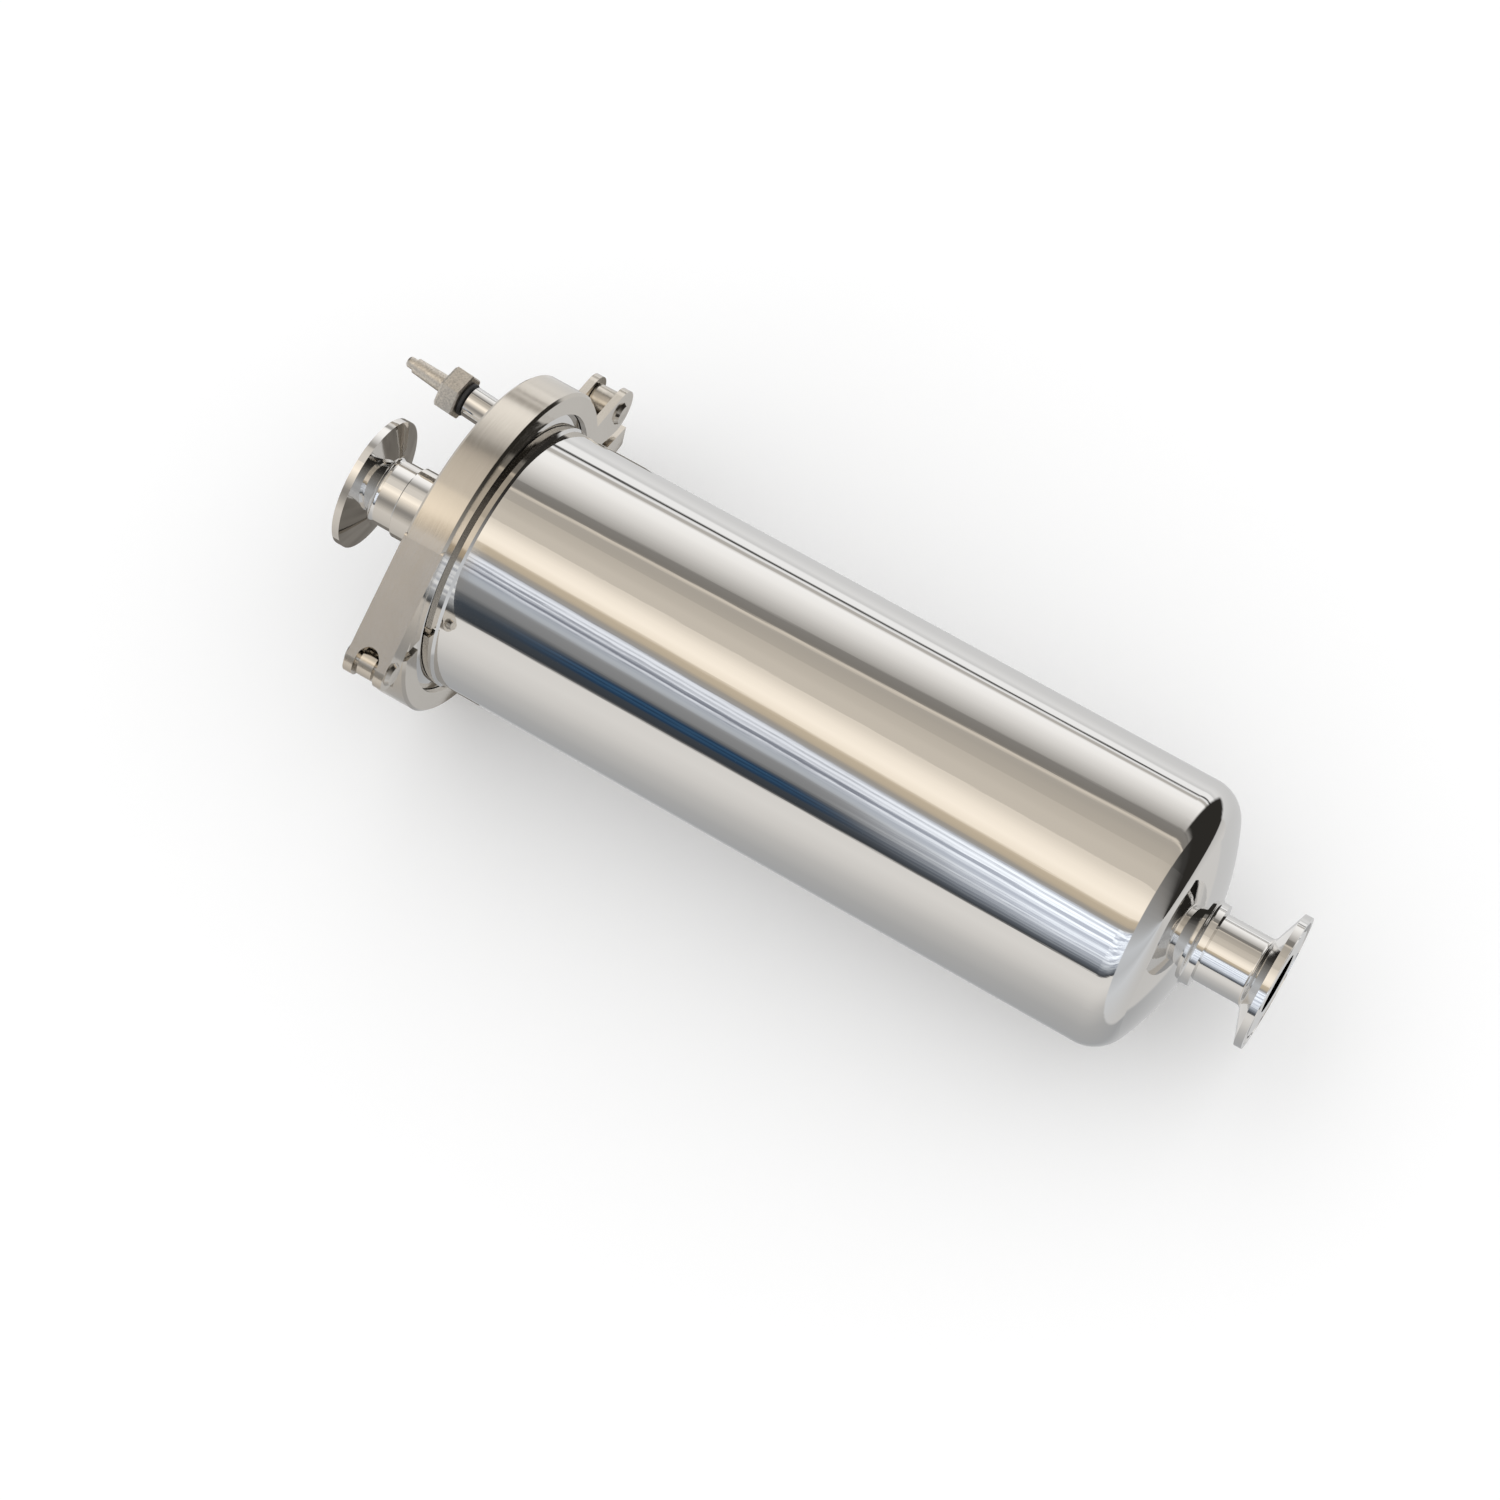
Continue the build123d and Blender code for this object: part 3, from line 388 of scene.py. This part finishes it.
def moulded_plastic():
    """White moulded plastic with flow marks and a fine skin."""
    material, tree, shader, place = node_tree("Moulded plastic")
    flow = noise(tree, place, 30.0, 3.0, (0.4, 1.0, 1.0))
    tree.links.new(
        mix(tree, spread(tree, flow, 0.0, 1.0), (0.80, 0.80, 0.77), (0.86, 0.86, 0.84)), shader.inputs["Base Color"],
    )
    tree.links.new(spread(tree, flow, 0.38, 0.5), shader.inputs["Roughness"])
    tree.links.new(bump(tree, noise(tree, place, 900.0, 2.0), 0.00002), shader.inputs["Normal"])
    shader.inputs["Subsurface Weight"].default_value = 0.1
    shader.inputs["Subsurface Radius"].default_value = (0.002, 0.002, 0.0015)
    return material


def pleated_fleece():
    """White filter fleece: a fine net pressed into soft fibres."""
    material, tree, shader, place = node_tree("Pleated fleece")
    fibres = noise(tree, place, 700.0, 4.0)
    net = noise(tree, place, 240.0, 1.0, (3.0, 1.0, 1.0))
    tree.links.new(
        mix(tree, spread(tree, fibres, 0.0, 1.0), (0.74, 0.74, 0.71), (0.88, 0.88, 0.86)), shader.inputs["Base Color"],
    )
    shader.inputs["Roughness"].default_value = 0.9
    soft = bump(tree, net, 0.0002)
    tree.links.new(bump(tree, fibres, 0.0001, under=soft), shader.inputs["Normal"])
    return material


def dress(names, material):
    """Give CAD nodes their material."""
    for name in names:
        slots = nodes[name].data.materials
        slots.clear()
        slots.append(material)


def part_of(node, point, along):
    """A merged copy of a CAD node, cut by the plane through point square to along, with the far side taken off."""
    shape = bmesh.new()
    shape.from_mesh(nodes[node].data)
    bmesh.ops.remove_doubles(shape, verts=shape.verts, dist=1e-6)
    bmesh.ops.bisect_plane(
        shape, geom=list(shape.verts) + list(shape.edges) + list(shape.faces), plane_co=point, plane_no=along,
        clear_outer=True,
    )
    bmesh.ops.holes_fill(shape, edges=[edge for edge in shape.edges if edge.is_boundary])
    bmesh.ops.recalc_face_normals(shape, faces=shape.faces)
    for edge in shape.edges:
        edge.smooth = edge.is_manifold and edge.calc_face_angle(0.0) < SMOOTH_ANGLE
    for face in shape.faces:
        face.smooth = True
    mesh = bpy.data.meshes.new(node)
    shape.to_mesh(mesh)
    shape.free()
    return mesh


def far_end(node, point, along):
    """How far a CAD node reaches from point, along a direction."""
    return max((vertex.co - point).dot(along) for vertex in nodes[node].data.vertices)


def rod_radius(node, point, along):
    """The radius of a CAD node's rod past point, along a direction."""
    offsets = [vertex.co - point for vertex in nodes[node].data.vertices]
    return max((offset - along * offset.dot(along)).length for offset in offsets if offset.dot(along) > 1e-4)


def screw_thread(name, start, along, radius, length, pitch):
    """A threaded rod from start, closed at both ends.

    The radius at a turn and a distance along the axis is the rod's, less the thread's depth times a wave that
    rises and falls in straight flanks once a pitch and moves along by a pitch a turn. The wave fades out over
    the last pitch at either end, and the far end tapers inwards.
    """
    depth = THREAD_DEPTH * pitch
    end_taper = THREAD_TAPER * pitch
    rounds, steps = THREAD_SIDES, max(8, int(length / pitch * THREAD_ROWS))
    turn = np.linspace(0.0, 2 * np.pi, rounds, endpoint=False)[None, :]
    reach = np.linspace(0.0, length, steps + 1)[:, None]
    phase = (reach / pitch - turn / (2 * np.pi)) % 1.0
    flank = np.clip(FLANK_SLOPE * np.abs(2 * phase - 1) - FLANK_SHIFT, 0.0, 1.0)
    fade = np.clip(np.minimum(reach, length - reach) / pitch, 0.0, 1.0)
    size = np.minimum(radius - depth * fade * flank, radius + length - end_taper - reach)
    side = along.orthogonal().normalized()
    across = along.cross(side)
    place = (
        np.array(start) + reach[..., None] * np.array(along)
        + size[..., None] * (np.cos(turn)[..., None] * np.array(side) + np.sin(turn)[..., None] * np.array(across))
    ).reshape(-1, 3)
    place = np.vstack([place, np.array(start), np.array(start + along * length)])
    ring = np.arange(rounds)
    after = (ring + 1) % rounds
    base = (np.arange(steps) * rounds)[:, None]
    quads = np.stack([base + ring, base + after, base + rounds + after, base + rounds + ring], -1).reshape(-1, 4)
    last = steps * rounds
    near = np.stack([np.full(rounds, last + rounds), after, ring], -1)
    far = np.stack([np.full(rounds, last + rounds + 1), last + ring, last + after], -1)
    mesh = bpy.data.meshes.new(name)
    mesh.from_pydata(place.tolist(), [], quads.tolist() + near.tolist() + far.tolist())
    mesh.shade_smooth()
    return mesh


def add_piece(mesh, material, body, slot, *replaced):
    """Put a new piece in the scene, riding on its body, in place of CAD nodes."""
    mesh.materials.clear()
    mesh.materials.append(material)
    piece = bpy.data.objects.new(mesh.name, mesh)
    bpy.context.scene.collection.objects.link(piece)
    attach(piece, body)
    if replaced:
        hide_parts(*replaced)


class FILTER_OT_polished_vessel(bpy.types.Operator):
    """Polish the housing, the cap and the nozzles"""

    bl_idname = "filter.polished_vessel"
    bl_label = "Polished vessel"

    def execute(self, context):
        dress(POLISHED + ("cartridge_socket",), polished_steel(context.scene.filter_steel))
        return {"FINISHED"}


class FILTER_OT_clamp_finish(bpy.types.Operator):
    """Brush the clamp, blast its wing nut and turn its pins and washer"""

    bl_idname = "filter.clamp_finish"
    bl_label = "Clamp finish"

    def execute(self, context):
        look = context.scene.filter_steel
        dress(SATIN, satin_steel(look))
        dress(("wing_nut",), cast_steel(look))
        dress(TURNED, turned_steel(look))
        return {"FINISHED"}


class FILTER_OT_closing_bolt(bpy.types.Operator):
    """Cut the closing bolt's thread"""

    bl_idname = "filter.closing_bolt"
    bl_label = "Closing bolt"

    def execute(self, context):
        look = context.scene.filter_steel
        pivot = Vector(joints["bolt_swing"]["pos_m"])
        along = Vector(joints["washer_travel"]["axis"]).normalized()
        finish = turned_steel(look)
        start = pivot + along * look.bolt_plain
        eye = part_of("eye_bolt", start, along)
        eye.name = "bolt_eye"
        add_piece(eye, finish, "closing_bolt", "brushed_steel", "eye_bolt")
        reach = far_end("eye_bolt", pivot, along)
        radius = rod_radius("eye_bolt", start, along)
        thread = screw_thread("bolt_thread", start, along, radius, reach - look.bolt_plain, look.bolt_pitch)
        add_piece(thread, finish, "closing_bolt", "brushed_steel")
        return {"FINISHED"}


class FILTER_OT_vent_valve(bpy.types.Operator):
    """Give the vent valve its blasted casting and its thread"""

    bl_idname = "filter.vent_valve"
    bl_label = "Vent valve"

    def execute(self, context):
        look = context.scene.filter_steel
        along = -Vector(joints["vent_turn"]["axis"]).normalized()
        seat = Vector(joints["vent_turn"]["pos_m"])
        reach = far_end("vent_stem", seat, along)
        radius = rod_radius("vent_stem", seat + along * reach / 2, along)
        start = seat + along * look.vent_pitch / 2
        knob = part_of("vent_stem", start, along)
        knob.name = "vent_knob"
        add_piece(knob, cast_steel(look), "vent", "polished_steel", "vent_stem")
        thread = screw_thread("vent_thread", start, along, radius, reach - look.vent_pitch / 2, look.vent_pitch)
        add_piece(thread, turned_steel(look, VENT_TONE), "vent", "polished_steel")
        return {"FINISHED"}


class FILTER_OT_soft_parts(bpy.types.Operator):
    """Give the seals and the cartridge their rubber, plastic and fleece"""

    bl_idname = "filter.soft_parts"
    bl_label = "Seals and cartridge"

    def execute(self, context):
        dress(RUBBER, black_rubber())
        dress(MOULDED, moulded_plastic())
        dress(("pleated_filter",), pleated_fleece())
        return {"FINISHED"}


def smooth_step(tree, value, start, end):
    """Rise smoothly from 0 at start to 1 at end, or fall where end is the lower."""
    node = tree.nodes.new("ShaderNodeMapRange")
    node.interpolation_type = "SMOOTHSTEP"
    ends = (("Min", min(start, end), float(start > end)), ("Max", max(start, end), float(end > start)))
    for name, place, level in ends:
        node.inputs["From " + name].default_value = place
        node.inputs["To " + name].default_value = level
    tree.links.new(value, node.inputs["Value"])
    return node.outputs["Result"]


def zone(tree, *edges):
    """1 where every value is past its fade, and 0 where one of them hasn't come to it."""
    steps = [smooth_step(tree, value, *fade) for value, fade in edges]
    share = steps[0]
    for step in steps[1:]:
        share = math(tree, "MULTIPLY", share, step)
    return share


def bands(tree, turn, rows):
    """The colours of a list of bands, by the turn round the housing. A ramp holds 32 stops, so each half has one."""
    halves = []
    for side in (-1, 1):
        stops = []
        for angle, brightness, warmth in rows:
            if side * angle >= 0:
                colour = tuple(brightness * (1 + shift * warmth) for shift in (1, 0.15, -1))
                stops.append(((angle + 180) / 360, colour))
        halves.append(ramp(tree, spread(tree, turn, 0.0, 1.0, -pi, pi), stops))
    return mix(tree, math(tree, "GREATER_THAN", turn, 0.0), *halves)


def room(world):
    """Plain white for the camera and for matt surfaces, and the studio's bands for what mirrors them.

    The bands lie along the housing and fan out a little towards its ends. Low down in front they turn blue, and
    bright towards the outlet. Towards the inlet stand the inlet bands. A reflection that looks in line with
    the housing shows the end bands, and one towards the far corner by the outlet is dark.
    """
    world.use_nodes = True
    tree = world.node_tree
    tree.nodes.clear()
    output = tree.nodes.new("ShaderNodeOutputWorld")
    light = tree.nodes.new("ShaderNodeLightPath")
    split = tree.nodes.new("ShaderNodeSeparateXYZ")
    join = tree.nodes.new("ShaderNodeCombineXYZ")
    tree.links.new(tree.nodes.new("ShaderNodeTexCoord").outputs["Generated"], split.inputs["Vector"])
    along = split.outputs["X"]
    turn = math(tree, "ARCTAN2", split.outputs["Y"], split.outputs["Z"])
    fan = math(tree, "SINE", math(tree, "MULTIPLY", math(tree, "SUBTRACT", turn, FAN_MIDDLE), 2.0))
    fan = math(tree, "MULTIPLY", spread(tree, along, *FAN_TO, *FAN_FROM), fan)
    fanned = math(tree, "SUBTRACT", turn, math(tree, "MULTIPLY", fan, FAN_TURN))
    tree.links.new(fanned, join.inputs["X"])
    tree.links.new(math(tree, "MULTIPLY", along, 0.08), join.inputs["Y"])
    streaks = spread(tree, noise(tree, join.outputs["Vector"], 26.0, 4.0), 0.0, 1.0, 0.40, 0.60)

    whole = bands(tree, fanned, ROOM_BANDS)
    far = zone(tree, (fanned, FAR_TURN), (fanned, UPPER_END))
    near = zone(tree, (along, NEAR_ALONG), (fanned, UPPER_END), (fanned, NEAR_TURN))
    blue = zone(tree, (fanned, BLUE_LOWER), (fanned, BLUE_UPPER), (along, BLUE_INLET), (along, BLUE_OUTLET))
    for share, tones in ((far, FAR_STREAKS), (near, NEAR_STREAKS), (blue, BLUE_STREAKS)):
        whole = mix(tree, share, whole, mix(tree, streaks, *tones))
    whole = mix(tree, zone(tree, (along, INLET_ALONG)), whole, bands(tree, turn, INLET_BANDS))
    in_line = zone(tree, (math(tree, "ABSOLUTE", along), IN_LINE))
    whole = mix(tree, in_line, whole, bands(tree, turn, END_BANDS))
    corner = zone(tree, (along, CORNER_ALONG), (turn, CORNER_FRONT), (turn, CORNER_BACK))
    whole = mix(tree, corner, whole, CORNER_TONE)

    backdrop = tree.nodes.new("ShaderNodeBackground")
    mirrored = tree.nodes.new("ShaderNodeBackground")
    choose = tree.nodes.new("ShaderNodeMixShader")
    backdrop.inputs["Strength"].default_value = BACKDROP_STRENGTH
    backdrop.inputs["Color"].default_value = (1.0, 1.0, 1.0, 1.0)
    tree.links.new(whole, mirrored.inputs["Color"])
    tree.links.new(light.outputs["Is Glossy Ray"], choose.inputs["Fac"])
    tree.links.new(backdrop.outputs["Background"], choose.inputs[1])
    tree.links.new(mirrored.outputs["Background"], choose.inputs[2])
    tree.links.new(choose.outputs["Shader"], output.inputs["Surface"])
    world.cycles.sampling_method = "NONE"


def pale_floor(look):
    """Pale matt floor. Steel that mirrors it shows the room's lower bands, as over a floor of glass."""
    material, tree, shader, place = node_tree("Pale floor")
    tone = noise(tree, place, 3.0, 2.0)
    light = tuple(look.floor_colour)
    dark = tuple(0.985 * channel for channel in light)
    tree.links.new(mix(tree, tone, light, dark), shader.inputs["Base Color"])
    shader.inputs["Roughness"].default_value = 0.9
    shader.inputs["Specular IOR Level"].default_value = 0.1
    light_path = tree.nodes.new("ShaderNodeLightPath")
    clear = tree.nodes.new("ShaderNodeBsdfTransparent")
    choose = tree.nodes.new("ShaderNodeMixShader")
    tree.links.new(light_path.outputs["Is Glossy Ray"], choose.inputs["Fac"])
    tree.links.new(shader.outputs["BSDF"], choose.inputs[1])
    tree.links.new(clear.outputs["BSDF"], choose.inputs[2])
    tree.links.new(choose.outputs["Shader"], tree.nodes["Material Output"].inputs["Surface"])
    return material


def on_floor(name, edges, material, look, lift=0.0):
    """A flat sheet on the floor, which leans as the filter lies on its clamp and its dished end."""
    left, right, front, back = edges
    slope = tan(look.floor_tilt)
    clamp_x = (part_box("clamp_lower")[0].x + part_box("clamp_lower")[1].x) / 2
    corners = [
        (x, y, (x - clamp_x) * slope - look.floor_drop + lift) for x, y in
        ((left, front), (right, front), (right, back), (left, back))
    ]
    mesh = bpy.data.meshes.new(name)
    mesh.from_pydata(corners, [], [(0, 1, 2, 3)])
    mesh.materials.append(material)
    sheet = bpy.data.objects.new(name, mesh)
    bpy.context.scene.collection.objects.link(sheet)
    return sheet


def painted_reflection_card():
    """Dull black card below the clamp with a faintly mottled grey glow, which only the steel mirrors: a painted dark
    reflection that lights nothing and casts no shadow.
    """
    material, tree, shader, place = node_tree("Painted reflection card")
    shader.inputs["Roughness"].default_value = 1.0
    shader.inputs["Specular IOR Level"].default_value = 0.0
    tone = noise(tree, place, 40.0, 2.0)
    glow = mix(tree, tone, (0.10, 0.09, 0.08), (0.32, 0.30, 0.27))
    tree.links.new(glow, shader.inputs["Emission Color"])
    shader.inputs["Emission Strength"].default_value = 1.0
    shader.inputs["Base Color"].default_value = (0.0, 0.0, 0.0, 1.0)
    return material


class FILTER_OT_studio(bpy.types.Operator):
    """Set the floor, the light and the camera"""

    bl_idname = "filter.studio"
    bl_label = "Studio"

    def execute(self, context):
        scene = context.scene
        look = scene.filter_studio
        scene.view_settings.view_transform = "Standard"
        scene.world = bpy.data.worlds.new("Studio")
        room(scene.world)

        floor = on_floor("floor", FLOOR_EDGES, pale_floor(look), look)
        # The card glows and is seen only in the steel, as a painted dark reflection under the clamp
        card = on_floor("painted_reflection_card", CARD_EDGES, painted_reflection_card(), look, CARD_LIFT)
        card.visible_camera = card.visible_diffuse = card.visible_shadow = card.visible_transmission = False

        camera = bpy.data.cameras.new("camera")
        camera.lens = look.focal_length
        camera.sensor_width = 36.0
        seat = bpy.data.objects.new("camera", camera)
        seat.location = look.camera_place
        seat.rotation_euler = look.camera_turn
        scene.collection.objects.link(seat)
        scene.camera = seat
        return {"FINISHED"}


class FILTER_PT_panel(bpy.types.Panel):
    bl_label = "Sanitary inline filter"
    bl_space_type = "VIEW_3D"
    bl_region_type = "UI"
    bl_category = "Filter"

    def draw(self, context):
        for operator in OPERATORS:
            self.layout.operator(operator.bl_idname)
        for group in (context.scene.filter_steel, context.scene.filter_studio):
            for name in group.__annotations__:
                self.layout.prop(group, name)


OPERATORS = (
    FILTER_OT_polished_vessel, FILTER_OT_clamp_finish, FILTER_OT_closing_bolt, FILTER_OT_vent_valve,
    FILTER_OT_soft_parts, FILTER_OT_studio,
)
CLASSES = (SteelLook, StudioLook) + OPERATORS + (FILTER_PT_panel,)


def register():
    for item in CLASSES:
        bpy.utils.register_class(item)
    bpy.types.Scene.filter_steel = PointerProperty(type=SteelLook)
    bpy.types.Scene.filter_studio = PointerProperty(type=StudioLook)


def unregister():
    del bpy.types.Scene.filter_steel
    del bpy.types.Scene.filter_studio
    for item in reversed(CLASSES):
        bpy.utils.unregister_class(item)


def main():
    register()
    bpy.ops.filter.polished_vessel()
    bpy.ops.filter.clamp_finish()
    bpy.ops.filter.closing_bolt()
    bpy.ops.filter.vent_valve()
    bpy.ops.filter.soft_parts()
    bpy.ops.filter.studio()


if __name__ == "__main__":
    main()
